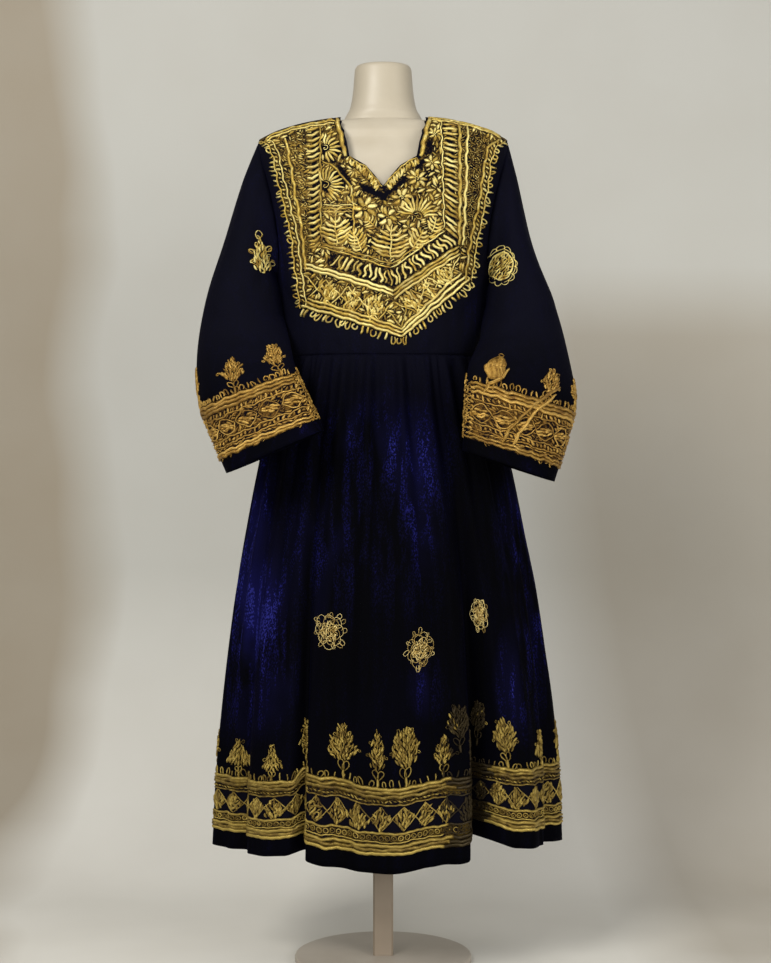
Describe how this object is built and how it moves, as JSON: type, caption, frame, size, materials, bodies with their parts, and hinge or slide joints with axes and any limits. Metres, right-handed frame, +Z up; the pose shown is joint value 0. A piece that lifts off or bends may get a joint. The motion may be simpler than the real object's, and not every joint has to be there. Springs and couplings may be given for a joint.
{
  "type": "kuchi dress on a dress form stand",
  "caption": "Long-sleeved velvet dress with gold embroidered bib, cuffs and hem, worn by a limbless dress form on a post stand.",
  "frame": {"origin": "middle of the stand base's underside, on the floor", "axes": "+Z up along the post, -Y the way the dress faces, +X the wearer's left"},
  "size_m": [0.6257, 0.4622, 1.5165],
  "materials": {
    "velvet": "dark blue crushed velvet",
    "gold_work": "couched gold thread",
    "form": "smooth cream",
    "stand": "pale grey-beige paint"
  },
  "bodies": {
    "root": {"bodice_front": "velvet", "bodice_back": "velvet", "sleeve_left": "velvet", "sleeve_right": "velvet", "skirt_front": "velvet", "skirt_back": "velvet", "bib": "gold_work", "cuff_band_left": "gold_work", "cuff_band_right": "gold_work", "hem_band_front": "gold_work", "hem_band_back": "gold_work", "dress_form": "form", "stand_post": "stand", "stand_base": "stand"}
  },
  "joints": []
}
